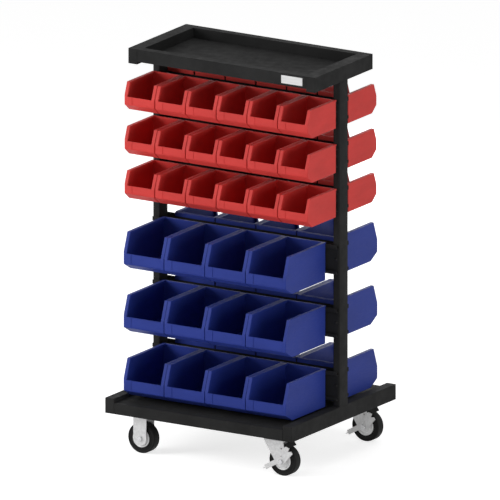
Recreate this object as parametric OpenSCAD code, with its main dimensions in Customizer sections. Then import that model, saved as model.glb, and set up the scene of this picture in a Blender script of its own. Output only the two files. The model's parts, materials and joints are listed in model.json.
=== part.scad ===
// Double-sided mobile rack for hang-on storage bins.
// The origin is on the floor, under the middle of the rack.
// +X runs along the width, -Y is the front, +Z is up. All lengths are in millimetres.

/* [Overall size] */
// Width over the two end channels
frame_w = 700; // [600:5:800]
// Height from the floor to the rim of the top tray
frame_h = 1300; // [1150:5:1450]
// Depth of the base, front to back
base_d = 630; // [600:5:740]
// Depth of the top tray, front to back
top_d = 350; // [300:5:440]

/* [Frame sheet metal] */
// Thickness of the folded sheet
sheet = 2; // [1.5:0.1:2.5]
// Width of an end channel
end_w = 34; // [32:1:44]
// Height of an end channel
end_h = 50; // [46:1:60]
// Radius of the vertical corners of the end channels
end_round = 2; // [1:0.5:5]
// Height of the front and back apron of the base deck
base_apron_h = 36; // [26:1:44]
// Height of the front and back apron of the top tray, with its rim
top_apron_h = 41; // [38:1:45]
// Width of the flat rim in front of and behind the opening of the top tray
top_rim = 28; // [20:1:40]
// Width of the narrow flange between an end channel and the opening of the top tray
top_flange = 10; // [8:1:16]
// Depth of the recess in the top tray
top_recess = 34; // [20:1:37]

/* [Posts] */
// Width of a post, along X
post_w = 25; // [22:1:30]
// Depth of a post, along Y
post_d = 50; // [40:1:60]
// Wall of a post
post_wall = 2; // [1.5:0.1:3]
// Radius of the long edges of a post
post_round = 3; // [2:0.5:5]

/* [Rails] */
// Distance from the side of the frame to the end of a rail
rail_inset = 5; // [3:1:8]
// Depth of a rail, from the post to its lips
rail_d = 12; // [11:0.5:16]
// Height of a rail for the small bins
red_rail_h = 72; // [64:1:80]
// Height of a rail for the large bins
blue_rail_h = 96; // [80:1:110]
// Height of the upstanding lip that the bins hang on
rail_lip_h = 14; // [12:1:18]
// Height of the lip along the bottom of a rail
rail_foot_h = 10; // [6:1:14]

/* [Rows of bins] */
// Number of rows of small bins on each side
red_rows = 3; // [3]
// Number of rows of large bins on each side
blue_rows = 3; // [3]
// Number of small bins in a row
red_count = 6; // [3:1:6]
// Number of large bins in a row
blue_count = 4; // [2:1:4]
// Distance from the side of the frame to the first small bin
red_inset = 6.25; // [2:0.25:20]
// Distance from the side of the frame to the first large bin
blue_inset = 45.75; // [36:0.25:60]
// Distance between rows of small bins, as a share of a post's length
red_pitch_share = 0.1368; // [0.125:0.0001:0.14]
// Distance between rows of large bins, as a share of a post's length
blue_pitch_share = 0.1948; // [0.17:0.0001:0.2]
// Distance from the top of the frame to the top of the first row of small bins
red_drop = 105; // [95:1:115]
// Distance from the last row of small bins to the first row of large ones, as a share of a post's length
blue_drop_share = 0.1701; // [0.15:0.0001:0.175]

/* [Small red bins] */
// Depth of a small bin, from its back to its front lip
red_d = 171; // [150:1:180]
// Height of a small bin
red_h = 94; // [84:1:98]
// Depth of the flat underside of a small bin
red_foot_d = 144; // [120:1:145]
// Depth of the top edge of a small bin
red_brow_d = 154; // [130:1:160]
// Height of the front lip of a small bin
red_lip_h = 50; // [42:1:58]
// Height at which the front of a small bin turns in under its lip
red_chin_h = 22; // [16:1:26]

/* [Large blue bins] */
// Depth of a large bin, from its back to its front lip
blue_d = 240; // [210:1:250]
// Height of a large bin
blue_h = 125; // [110:1:135]
// Depth of the flat underside of a large bin
blue_foot_d = 200; // [170:1:205]
// Depth of the top edge of a large bin
blue_brow_d = 216; // [190:1:225]
// Height of the front lip of a large bin
blue_lip_h = 60; // [50:1:70]
// Height at which the front of a large bin turns in under its lip
blue_chin_h = 23; // [18:1:30]

/* [Bin mouldings] */
// Wall of a bin
bin_wall = 2.5; // [2:0.1:3]
// Gap between neighbouring small bins
red_gap = 2.5; // [1:0.1:3]
// Gap between neighbouring large bins
blue_gap = 1.5; // [1:0.1:4]
// Width of the thick rim along the top of the side walls
rim_w = 11; // [5:0.5:13]
// Height of the thick rim
rim_h = 7; // [5:0.5:10]
// Radius of the outer corners of a bin, seen from the side
bin_round = 3; // [1.5:0.5:4]
// Thickness of the hook on the back of a bin
hook_t = 3.2; // [2.4:0.1:3.4]
// Distance from a bin's side to its hook
hook_inset = 2; // [1:0.5:6]
// How far the hook reaches down behind the rail's lip
hook_drop = 9; // [6:0.5:10]
// Height of a bin's rim above the lip that it hangs on
hook_rise = 5; // [4:0.5:7]
// How far the front lip and the back of a bin's mouth stand in from the room below
sill = 1.5; // [1:0.1:2]
// Distance from a bin's left side to its label panel
label_left = 28; // [20:1:36]
// Depth of the label panel in a bin's front lip
label_cut = 1.2; // [0.5:0.1:1.4]

/* [Castors] */
// Height from the floor to the underside of the base
castor_h = 130; // [128:1:140]
// Diameter of a wheel
wheel_d = 100; // [90:1:102]
// Width of a tyre
wheel_w = 32; // [24:1:36]
// Diameter of the hub that carries the tyre
hub_d = 60; // [50:1:70]
// How far the hub stands proud of the tyre on each side
hub_proud = 2; // [0.5:0.5:4]
// Distance from the end of the frame to the axis of a castor
castor_inset_x = 105.5; // [98:0.5:130]
// Distance from the front or rear edge of the base to the axis of a castor
castor_inset_y = 65; // [60:1:90]
// Distance from the swivel axis to the axle
trail = 40; // [30:1:44]
// Diameter of an axle
axle_d = 12; // [8:0.5:14]
// Distance between the legs of a fork
fork_gap = 45; // [43:0.5:48]
// Thickness of the pressed fork
fork_t = 3; // [2.5:0.1:4]
// Width of a leg of a fixed castor
leg_w = 48; // [40:1:54]
// Radius of the round end of a leg of a fixed castor
leg_round = 24; // [16:0.5:25]
// Radius of the round end of a leg of a swivel castor
swivel_round = 20; // [16:0.5:22]
// Length of a castor's top plate, along X
plate_l = 100; // [96:1:110]
// Width of a castor's top plate, along Y
plate_w = 84; // [80:1:90]
// Thickness of a castor's top plate
plate_t = 3; // [2.5:0.1:4]
// Distance between the bolts of a plate, along X
bolt_l = 80; // [76:1:84]
// Distance between the bolts of a plate, along Y
bolt_w = 60; // [56:1:66]
// Diameter of the raceway under a swivel plate
race_d = 60; // [50:1:64]
// Depth of the raceway
race_h = 10; // [8:0.5:12]
// Diameter of a kingpin
kingpin_d = 12; // [10:0.5:14]
// Thickness of a brake lever
lever_t = 3; // [2:0.1:4]
// Length of the brake lever, from the axle to the tip of its pedal
lever_l = 71; // [66:1:74]
// Slope of the brake lever below level, in degrees
lever_slope = 30; // [24:1:33]
// Thickness of the brake shoe, a flat bar over the tyre
shoe_t = 3; // [2:0.5:4]

/* [Fasteners] */
// Diameter of the bolts of the frame and the castors
bolt_d = 8; // [6:0.5:8]
// Diameter of the screws of the rails
screw_d = 5; // [4:0.5:6]

/* [Label plate] */
// Width of the blank label plate
label_w = 79; // [40:1:100]
// Height of the blank label plate
label_h = 26.5; // [16:0.5:30]
// Thickness of the blank label plate
label_t = 1; // [0.6:0.1:1.5]
// Distance from the side of the frame to the label plate
label_side = 47; // [40:1:80]

/* [Hidden] */
$fn = 48;

// Running clearance between a pin and its bore, on the radius
fit = 0.05;
// Gap between pieces that pass each other
gap = 0.3;
// Clearance round a bolt, on the radius
bolt_gap = 0.25;
// How far every cut runs past the face that it opens
over = 1;
// Sides of the small arcs on the outlines
arc_sides = 16;

// Colours of the finishes
frame_black = [0.13, 0.13, 0.13];
bin_red = [0.80, 0.16, 0.17];
bin_blue = [0.13, 0.16, 0.50];
castor_grey = [0.78, 0.78, 0.78];
steel_grey = [0.62, 0.62, 0.64];
tyre_black = [0.10, 0.10, 0.10];
label_white = [0.85, 0.85, 0.85];

// Places on the frame
half_w = frame_w / 2;
base_z = castor_h;
base_top = base_z + end_h;
top_z = frame_h - end_h;
end_x = half_w - end_w / 2;
tray_half_w = half_w - end_w;
post_x = half_w - post_w / 2;
post_y = post_d / 2;
post_l = top_z - base_top;
post_plate_t = sheet + fork_t;
recess_w = frame_w - 2 * (end_w + top_flange);
recess_d = top_d - 2 * top_rim;

// Places of the rails and bins
rail_l = frame_w - 2 * rail_inset;
rail_y = post_y;
hang_y = rail_y + rail_d + gap;
red_top = frame_h - red_drop;
red_pitch = red_pitch_share * post_l;
blue_pitch = blue_pitch_share * post_l;
blue_top = red_top - (red_rows - 1) * red_pitch - blue_drop_share * post_l;
red_w = (frame_w - 2 * red_inset - (red_count - 1) * red_gap) / red_count;
blue_w = (frame_w - 2 * blue_inset - (blue_count - 1) * blue_gap) / blue_count;
red_step = red_w + red_gap;
blue_step = blue_w + blue_gap;

// Sizes of the castors
castor_x = half_w - castor_inset_x;
castor_y = base_d / 2 - castor_inset_y;
axle_z = wheel_d / 2;
axle_r = axle_d / 2;
fork_in = fork_gap / 2;
fork_out = fork_in + fork_t;
plate_z = castor_h - plate_t;
plate_round = 6;
race_z = plate_z - race_h;
crown_z = race_z - gap - fork_t;
crown_w = 72;
crown_back = 24;
kingpin_r = kingpin_d / 2;
kingpin_lap = 5;
kingpin_head_r = kingpin_r + kingpin_lap;
kingpin_head_t = 4;
hub_r = hub_d / 2;
hub_w = wheel_w + 2 * hub_proud;
hub_rim = 4;
hub_web = 10;
boss_wall = 6;
hub_boss_r = axle_r + boss_wall;
tyre_round = 3;
tyre_seat_w = wheel_w - tyre_round;

// Small hole through both legs of a swivel fork, from the axle
leg_hole_r = 2.5;
leg_hole_x = 1;
leg_hole_z = 41.5;

// Sizes of the brake lever; the claw is set out for a wheel of claw_wheel_d
claw_wheel_d = 100;
claw = wheel_d / claw_wheel_d;
lever_eye = 9;
lever_hub_r = axle_r + lever_eye;
lever_arm_w = 16;
lever_rise = 6;
lever_slot_w = 2.5;
lever_slot_l = 8;
pedal_gap = 3;
pedal_l = lever_l - wheel_d / 2 - pedal_gap;
pedal_w = 24;
pedal_t = 3;

// Sizes of the fasteners; a hexagon or head laps this far over its hole
nut_lap = 3;
nut_t = 5;
axle_head_r = axle_r + nut_lap;
bolt_r = bolt_d / 2;
bolt_head_r = bolt_r + nut_lap;
bolt_dome_t = 3;
post_bolt_y = post_d / 4;
screw_r = screw_d / 2;
screw_lap = 2.5;
screw_head_r = screw_r + screw_lap;
screw_head_t = 3;
screw_len = sheet + post_wall + fork_t;

// An outline drawn as depth and height, drawn out to a width along X; depth runs to the front
module across(width) {
  rotate([90, 0, -90]) linear_extrude(width, center = true) children();
}

// An outline drawn as X and Z, given a thickness along Y from y0 to the back
module upright(y0, thick) {
  translate([0, y0 + thick, 0]) rotate([90, 0, 0]) linear_extrude(thick) children();
}

// A rectangle with round corners, or with sharp ones where no radius is left
module rounded(size_x, size_y, radius) {
  if (radius > 0)
    offset(r = radius, $fn = 2 * arc_sides) offset(delta = -radius)
      square([size_x, size_y], center = true);
  else square([size_x, size_y], center = true);
}

// Turns a front piece round to the rear side
module at_rear() {
  rotate([0, 0, 180]) children();
}

// Repeats a piece at both ends of the frame and on both sides of the middle
module four_corners(x, y) {
  for (sx = [-1, 1], sy = [-1, 1]) translate([sx * x, sy * y, 0]) children();
}

// Base: a flat deck between two inverted channels, with its edges folded down
module base_deck() {
  inner_w = 2 * (tray_half_w - sheet);
  color(frame_black) difference() {
    translate([0, 0, base_z]) linear_extrude(base_apron_h)
      rounded(2 * tray_half_w, base_d, end_round);
    translate([-inner_w / 2, -base_d / 2 + sheet, base_z - over])
      cube([inner_w, base_d - 2 * sheet, base_apron_h - sheet + over]);
  }
}

// Channels under the deck, one along each end, that carry the castors
module castor_channels() {
  height = base_apron_h - sheet;
  length = base_d - 2 * sheet;
  color(frame_black) difference() {
    for (side = [-1, 1]) translate([side * castor_x - plate_l / 2, -length / 2, base_z]) difference() {
      cube([plate_l, length, height]);
      translate([sheet, -over, sheet]) cube([plate_l - 2 * sheet, length + 2 * over, height]);
    }
    castor_bolt_places() translate([0, 0, base_z - over])
      cylinder(h = sheet + 2 * over, r = bolt_r + bolt_gap);
  }
}

module base_end(side) {
  color(frame_black) translate([side * end_x, 0, base_z]) difference() {
    linear_extrude(end_h) rounded(end_w, base_d, end_round);
    translate([0, 0, -over]) linear_extrude(end_h - sheet + over)
      rounded(end_w - 2 * sheet, base_d - 2 * sheet, end_round - sheet);
    for (sy = [-1, 1]) translate([side * (post_x - end_x), sy * post_bolt_y, 0])
      cylinder(h = end_h + over, r = bolt_r + bolt_gap);
  }
}

// Post: a rectangular tube, closed by a tapped plate at each end
module post(side) {
  color(frame_black) translate([side * post_x, 0, base_top]) difference() {
    union() {
      linear_extrude(post_l) difference() {
        rounded(post_w, post_d, post_round);
        rounded(post_w - 2 * post_wall, post_d - 2 * post_wall, post_round - post_wall / 2);
      }
      for (z = [0, post_l - post_plate_t]) translate([0, 0, z])
        linear_extrude(post_plate_t) rounded(post_w, post_d, post_round);
    }
    for (sy = [-1, 1], z = [0, post_l - post_plate_t])
      translate([0, sy * post_bolt_y, z - over])
        cylinder(h = post_plate_t + 2 * over, r = bolt_r + fit);
    for (z = rail_screw_heights(), sy = [-1, 1])
      translate([0, sy * post_y, z - base_top]) rotate([90, 0, 0])
        cylinder(h = 2 * (post_wall + over), r = screw_r + fit, center = true);
  }
}

// Top: a recessed tray whose rim lies on two open channels
module top_tray() {
  rim_z = frame_h - sheet;
  pan_z = frame_h - top_recess - sheet;
  color(frame_black) difference() {
    union() {
      translate([0, 0, rim_z]) linear_extrude(sheet) rounded(frame_w, top_d, end_round);
      translate([-recess_w / 2 - sheet, -recess_d / 2 - sheet, pan_z])
        cube([recess_w + 2 * sheet, recess_d + 2 * sheet, frame_h - pan_z - sheet / 2]);
      for (side = [-1, 1])
        translate([-tray_half_w, side * (top_d - sheet) / 2 - sheet / 2, frame_h - top_apron_h])
          cube([2 * tray_half_w, sheet, top_apron_h - sheet / 2]);
    }
    translate([0, 0, pan_z + sheet]) linear_extrude(top_recess + over)
      rounded(recess_w, recess_d, end_round);
  }
}

module top_end(side) {
  height = end_h - sheet;
  color(frame_black) translate([side * end_x, 0, top_z]) difference() {
    linear_extrude(height) rounded(end_w, top_d, end_round);
    translate([0, 0, sheet]) linear_extrude(height)
      rounded(end_w - 2 * sheet, top_d - 2 * sheet, end_round - sheet);
    for (sy = [-1, 1]) translate([side * (post_x - end_x), sy * post_bolt_y, -over])
      cylinder(h = sheet + 2 * over, r = bolt_r + bolt_gap);
  }
}

// Blank plate on the front apron of the top tray
module label_plate() {
  height = frame_h - top_apron_h / 2;
  color(label_white) translate([half_w - label_side - label_w / 2, -top_d / 2, height])
    rotate([90, 0, 0]) linear_extrude(label_t) rounded(label_w, label_h, label_t);
}

// Heights of the tops of the bins in each row
function red_tops() = [for (i = [0 : red_rows - 1]) red_top - i * red_pitch];
function blue_tops() = [for (i = [0 : blue_rows - 1]) blue_top - i * blue_pitch];

// Height of the screws in a rail whose bins reach up to a height
function screw_height(top, rail_h) = top - hook_rise - rail_h / 2;
function rail_screw_heights() = concat(
  [for (top = red_tops()) screw_height(top, red_rail_h)],
  [for (top = blue_tops()) screw_height(top, blue_rail_h)]);

// Rail: a folded strip with an upstanding lip at the top and a short lip at the foot
module rail_outline(height) {
  web_h = height - rail_lip_h + sheet;
  translate([rail_y, 0]) {
    square([sheet, web_h]);
    translate([0, web_h - sheet]) square([rail_d, sheet]);
    translate([rail_d - sheet, web_h - sheet]) square([sheet, rail_lip_h]);
    square([rail_d, sheet]);
    translate([rail_d - sheet, 0]) square([sheet, rail_foot_h]);
  }
}

module rails(tops, height) {
  color(frame_black) for (top = tops) translate([0, 0, top - hook_rise - height]) difference() {
    across(rail_l) rail_outline(height);
    for (sx = [-1, 1]) translate([sx * post_x, -rail_y, height / 2]) rotate([90, 0, 0])
      cylinder(h = 2 * (sheet + over), r = screw_r + fit, center = true);
  }
}

module front_red_rails() { rails(red_tops(), red_rail_h); }
module front_blue_rails() { rails(blue_tops(), blue_rail_h); }
module rear_red_rails() { at_rear() rails(red_tops(), red_rail_h); }
module rear_blue_rails() { at_rear() rails(blue_tops(), blue_rail_h); }

// Pan-head screws that hold the rails to the posts
module rail_screws() {
  head_y = -rail_y - sheet;
  color(frame_black) for (turn = [0, 180], sx = [-1, 1], z = rail_screw_heights())
    rotate([0, 0, turn]) translate([sx * post_x, head_y, z]) rotate([90, 0, 0]) {
      cylinder(h = screw_head_t, r1 = screw_head_r, r2 = screw_r);
      translate([0, 0, -screw_len]) cylinder(h = screw_len, r = screw_r);
    }
}

// Bolts that hold the end channels to the posts
module frame_bolts() {
  reach = sheet + post_plate_t + sheet;
  color(steel_grey) {
    four_corners(post_x, post_bolt_y) translate([0, 0, base_top - sheet - nut_t]) {
      cylinder(h = nut_t, r = bolt_head_r, $fn = 6);
      cylinder(h = nut_t + reach, r = bolt_r);
    }
    four_corners(post_x, post_bolt_y) translate([0, 0, top_z + sheet - reach]) {
      cylinder(h = reach, r = bolt_r);
      translate([0, 0, reach]) cylinder(h = nut_t, r = bolt_head_r, $fn = 6);
    }
  }
}

// Places of the bolts through the castor channels and the castor plates
module plate_bolt_places() {
  four_corners(bolt_l / 2, bolt_w / 2) children();
}

module castor_bolt_places() {
  four_corners(castor_x, castor_y) plate_bolt_places() children();
}

// Bolts of the castors, each with its nut under the plate
module castor_bolts() {
  grip = plate_t + sheet;
  color(steel_grey) castor_bolt_places() translate([0, 0, plate_z - nut_t]) {
    cylinder(h = nut_t, r = bolt_head_r, $fn = 6);
    cylinder(h = nut_t + grip, r = bolt_r);
    translate([0, 0, nut_t + grip])
      cylinder(h = bolt_dome_t, r1 = bolt_head_r, r2 = bolt_r);
  }
}

// Plate on top of a castor, centred on its axis
module castor_plate() {
  translate([0, 0, plate_z]) linear_extrude(plate_t)
    rounded(plate_l, plate_w, plate_round);
}

module plate_holes() {
  plate_bolt_places() translate([0, 0, plate_z - over])
    cylinder(h = plate_t + 2 * over, r = bolt_r + bolt_gap);
}

// Bore for the axle through both legs of a fork
module axle_bore(x) {
  translate([x, 0, axle_z]) rotate([90, 0, 0])
    cylinder(h = 2 * (fork_out + over), r = axle_r + fit, center = true);
}

// Fixed castor: plate and two straight legs in one pressing
module fixed_fork(sy) {
  color(castor_grey) translate([-castor_x, sy * castor_y, 0]) difference() {
    union() {
      castor_plate();
      for (y0 = [-fork_out, fork_in]) upright(y0, fork_t) hull() {
        translate([0, axle_z]) circle(r = leg_round, $fn = 2 * arc_sides);
        translate([-leg_w / 2, plate_z]) square([leg_w, plate_t / 2]);
      }
    }
    axle_bore(0);
    plate_holes();
  }
}

// Axle: a bolt through both legs, with its nut
module axle(x, sy, front_pack) {
  color(steel_grey) translate([x, sy * castor_y, axle_z]) {
    rotate([90, 0, 0]) translate([0, 0, -fork_out])
      cylinder(h = 2 * fork_out + front_pack, r = axle_r);
    translate([0, -fork_out - front_pack, 0]) rotate([90, 0, 0])
      cylinder(h = nut_t, r = axle_head_r, $fn = 6);
    translate([0, fork_out, 0]) rotate([-90, 0, 0])
      cylinder(h = nut_t, r = axle_head_r, $fn = 6);
  }
}

// Hub: a moulded disc with a boss, a thin web and a rim under the tyre
module hub(x, sy) {
  boss_w = fork_gap - 2 * gap;
  color(castor_grey) translate([x, sy * castor_y, axle_z]) rotate([90, 0, 0]) difference() {
    union() {
      cylinder(h = hub_w, r = hub_r, center = true);
      cylinder(h = boss_w, r = hub_boss_r, center = true);
    }
    for (face = [0, 180]) rotate([face, 0, 0]) translate([0, 0, hub_web / 2]) difference() {
      cylinder(h = hub_w, r = hub_r - hub_rim);
      cylinder(h = boss_w, r = hub_boss_r);
    }
    cylinder(h = boss_w + 2 * over, r = axle_r + fit, center = true);
  }
}

// Tyre: a crowned tread that narrows to its seat on the hub
module tyre(x, sy) {
  tyre_r = wheel_d / 2;
  color(tyre_black) translate([x, sy * castor_y, axle_z]) rotate([90, 0, 0]) rotate_extrude()
    intersection() {
      translate([hub_r, -wheel_w / 2]) square([tyre_r - hub_r, wheel_w]);
      offset(r = tyre_round, $fn = 2 * arc_sides) offset(delta = -tyre_round) polygon([
        [0, -tyre_seat_w / 2], [hub_r, -tyre_seat_w / 2], [tyre_r - tyre_round, -wheel_w / 2],
        [tyre_r, -wheel_w / 2], [tyre_r, wheel_w / 2],
        [tyre_r - tyre_round, wheel_w / 2], [hub_r, tyre_seat_w / 2], [0, tyre_seat_w / 2]]);
    }
}

// Swivel castor: plate with its raceway, bolted to the base
module swivel_plate(sy) {
  race_r = race_d / 2;
  color(castor_grey) translate([castor_x, sy * castor_y, 0]) difference() {
    union() {
      castor_plate();
      rotate_extrude() polygon([
        [0, race_z], [race_r - race_h / 2, race_z], [race_r, race_z + race_h / 2],
        [race_r, plate_z + plate_t / 2], [0, plate_z + plate_t / 2]]);
    }
    translate([0, 0, race_z - over]) cylinder(h = race_h + plate_t + 2 * over, r = kingpin_r + fit);
    plate_holes();
  }
}

// Kingpin: holds the fork up under the raceway
module swivel_kingpin(sy) {
  head_z = crown_z - gap - kingpin_head_t;
  color(steel_grey) translate([castor_x, sy * castor_y, head_z]) {
    cylinder(h = kingpin_head_t, r = kingpin_head_r);
    cylinder(h = castor_h - head_z, r = kingpin_r);
  }
}

// Fork of a swivel castor: a crown and two legs that trail behind the kingpin
module swivel_fork(sy) {
  color(castor_grey) translate([castor_x, sy * castor_y, 0]) difference() {
    union() {
      translate([-crown_back, -fork_out, crown_z]) cube([crown_w, 2 * fork_out, fork_t]);
      for (y0 = [-fork_out, fork_in]) upright(y0, fork_t) hull() {
        translate([trail, axle_z]) circle(r = swivel_round, $fn = 2 * arc_sides);
        translate([-crown_back, crown_z]) square([crown_w, fork_t]);
      }
    }
    translate([0, 0, crown_z - over]) cylinder(h = fork_t + 2 * over, r = kingpin_r + fit);
    axle_bore(trail);
    translate([trail + leg_hole_x, 0, axle_z + leg_hole_z]) rotate([90, 0, 0])
      cylinder(h = 2 * (fork_out + over), r = leg_hole_r, center = true);
  }
}

// Brake lever: a plate that turns on the axle, with a pedal at the front and a claw at the back
module brake_lever(sy) {
  y0 = -fork_out - gap - lever_t;
  color(castor_grey) translate([castor_x + trail, sy * castor_y, axle_z]) difference() {
    union() {
      upright(y0, lever_t) difference() {
        union() {
          circle(r = lever_hub_r, $fn = 2 * arc_sides);
          rotate(180 + lever_slope) translate([0, -lever_rise - lever_arm_w / 2])
            square([lever_l - pedal_l / 2, lever_arm_w]);
          polygon(claw * claw_shares());
        }
        translate(claw * lever_slot_share()) rotate(lever_slope) hull()
          for (side = [-1, 1]) translate([side * (lever_slot_l - lever_slot_w) / 2, 0])
            circle(r = lever_slot_w / 2, $fn = 2 * arc_sides);
      }
      rotate([0, -lever_slope, 0])
        translate([-lever_l, y0, lever_rise - pedal_t / 2]) cube([pedal_l, pedal_w, pedal_t]);
    }
    rotate([90, 0, 0]) cylinder(h = 2 * (fork_out + lever_t + over), r = axle_r + fit, center = true);
  }
}

// Brake shoe: a flat bar on the inside of the claw, which reaches across over the tyre
module brake_shoe(sy) {
  heel = claw * shoe_heel_share();
  toe = claw * shoe_toe_share();
  run = (toe - heel) / norm(toe - heel);
  out = shoe_t * [run[1], -run[0]];
  color(frame_black) translate([castor_x + trail, sy * castor_y, axle_z])
    upright(-fork_out - gap, 2 * fork_out) polygon([heel, toe, toe + out, heel + out]);
}

// Outline of the claw, the middle of the lever's slot and the ends of the shoe's underside
function claw_shares() = [
  [-8, 12], [12, 46], [19, 52], [32.8, 47.5], [28, 35.7], [39.7, 37.3], [44.4, 29.6], [36, 20.1], [14, -5]];
function lever_slot_share() = [4.5, 18.6];
function shoe_heel_share() = [25.5, 45];
function shoe_toe_share() = [14.3, 60];

// Hook on the back of a bin, as depth and height from the top of the rail's lip
module hook_outline() {
  leg_back = rail_d - sheet - gap - hook_t;
  translate([rail_y + leg_back, -hook_drop]) square([hook_t, hook_drop + hook_rise - bin_wall / 2]);
  translate([rail_y + leg_back, gap]) square([rail_d + bin_wall - leg_back, hook_rise - gap - bin_wall / 2]);
}

// One hang-on bin, its back against the rail and its hook over the rail's lip. The room goes up
// to the thick rim, and the mouth opens between the rims of the two sides.
module bin(width, depth, height, foot_d, brow_d, lip_h, chin_h) {
  outer = [[0, 0], [foot_d, 0], [depth, chin_h], [depth, lip_h], [brow_d, height], [0, height]];
  under_rim = [[0, 0], [depth, 0], [depth, lip_h], [depth - rim_h, lip_h],
               [brow_d - rim_h / 2, height - rim_h], [0, height - rim_h]];
  panel_h = lip_h - chin_h - 2 * bin_wall;
  panel_w = width - label_left - rim_w;
  translate([0, 0, -height]) difference() {
    union() {
      difference() {
        across(width) translate([hang_y, 0]) bin_side(outer);
        across(width - 2 * bin_wall) translate([hang_y, 0]) intersection() {
          offset(delta = -bin_wall) polygon(outer);
          polygon(under_rim);
        }
        across(width - 2 * rim_w) translate([hang_y + bin_wall + sill, lip_h - sill])
          square([depth + over, height]);
      }
      across(width - 2 * hook_inset) translate([0, height - hook_rise]) hook_outline();
    }
    translate([-width / 2 + label_left, -hang_y - depth - over, chin_h + bin_wall])
      cube([panel_w, label_cut + over, panel_h]);
  }
}

// Side of a bin with its corners rounded
module bin_side(outer) {
  offset(r = bin_round, $fn = arc_sides) offset(delta = -bin_round) polygon(outer);
}

module red_bin() {
  bin(red_w, red_d, red_h, red_foot_d, red_brow_d, red_lip_h, red_chin_h);
}

module blue_bin() {
  bin(blue_w, blue_d, blue_h, blue_foot_d, blue_brow_d, blue_lip_h, blue_chin_h);
}

// Bins number from to number to of a row, counted from the left as seen from the bins' own side
module red_bins(row, from, to) {
  color(bin_red) for (i = [from : to])
    translate([(i - (red_count + 1) / 2) * red_step, 0, red_tops()[row]]) red_bin();
}

module blue_bins(row, from, to) {
  color(bin_blue) for (i = [from : to])
    translate([(i - (blue_count + 1) / 2) * blue_step, 0, blue_tops()[row]]) blue_bin();
}

base_deck();
castor_channels();
base_end(-1);  // base_end_left
base_end(1);  // base_end_right
post(-1);  // post_left
post(1);  // post_right
top_tray();
top_end(-1);  // top_end_left
top_end(1);  // top_end_right
label_plate();
front_red_rails();
front_blue_rails();
rear_red_rails();
rear_blue_rails();
rail_screws();
frame_bolts();
castor_bolts();
fixed_fork(-1);  // fixed_front_fork
axle(-castor_x, -1, 0);  // fixed_front_axle
hub(-castor_x, -1);  // fixed_front_hub
tyre(-castor_x, -1);  // fixed_front_tyre
fixed_fork(1);  // fixed_rear_fork
axle(-castor_x, 1, 0);  // fixed_rear_axle
hub(-castor_x, 1);  // fixed_rear_hub
tyre(-castor_x, 1);  // fixed_rear_tyre
swivel_plate(-1);  // swivel_front_plate
swivel_kingpin(-1);  // swivel_front_kingpin
swivel_fork(-1);  // swivel_front_fork
axle(castor_x + trail, -1, lever_t + 2 * gap);  // swivel_front_axle
hub(castor_x + trail, -1);  // swivel_front_hub
tyre(castor_x + trail, -1);  // swivel_front_tyre
brake_lever(-1);  // brake_lever_front
brake_shoe(-1);  // brake_shoe_front
swivel_plate(1);  // swivel_rear_plate
swivel_kingpin(1);  // swivel_rear_kingpin
swivel_fork(1);  // swivel_rear_fork
axle(castor_x + trail, 1, lever_t + 2 * gap);  // swivel_rear_axle
hub(castor_x + trail, 1);  // swivel_rear_hub
tyre(castor_x + trail, 1);  // swivel_rear_tyre
brake_lever(1);  // brake_lever_rear
brake_shoe(1);  // brake_shoe_rear
red_bins(0, 1, red_count - 1);  // front_red_row_1
red_bins(1, 1, red_count - 1);  // front_red_row_2
red_bins(2, 1, red_count - 1);  // front_red_row_3
red_bins(0, red_count, red_count);  // front_red_bin_1
red_bins(1, red_count, red_count);  // front_red_bin_2
red_bins(2, red_count, red_count);  // front_red_bin_3
blue_bins(0, 1, blue_count - 1);  // front_blue_row_1
blue_bins(1, 1, blue_count - 1);  // front_blue_row_2
blue_bins(2, 1, blue_count - 1);  // front_blue_row_3
blue_bins(0, blue_count, blue_count);  // front_blue_bin_1
blue_bins(1, blue_count, blue_count);  // front_blue_bin_2
blue_bins(2, blue_count, blue_count);  // front_blue_bin_3
at_rear() red_bins(0, 1, red_count);  // rear_red_row_1
at_rear() red_bins(1, 1, red_count);  // rear_red_row_2
at_rear() red_bins(2, 1, red_count);  // rear_red_row_3
at_rear() blue_bins(0, 1, blue_count);  // rear_blue_row_1
at_rear() blue_bins(1, 1, blue_count);  // rear_blue_row_2
at_rear() blue_bins(2, 1, blue_count);  // rear_blue_row_3
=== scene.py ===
import json
import math

import bpy
from bpy.props import FloatProperty, FloatVectorProperty, IntProperty, PointerProperty
from mathutils import Matrix, Vector


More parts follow.
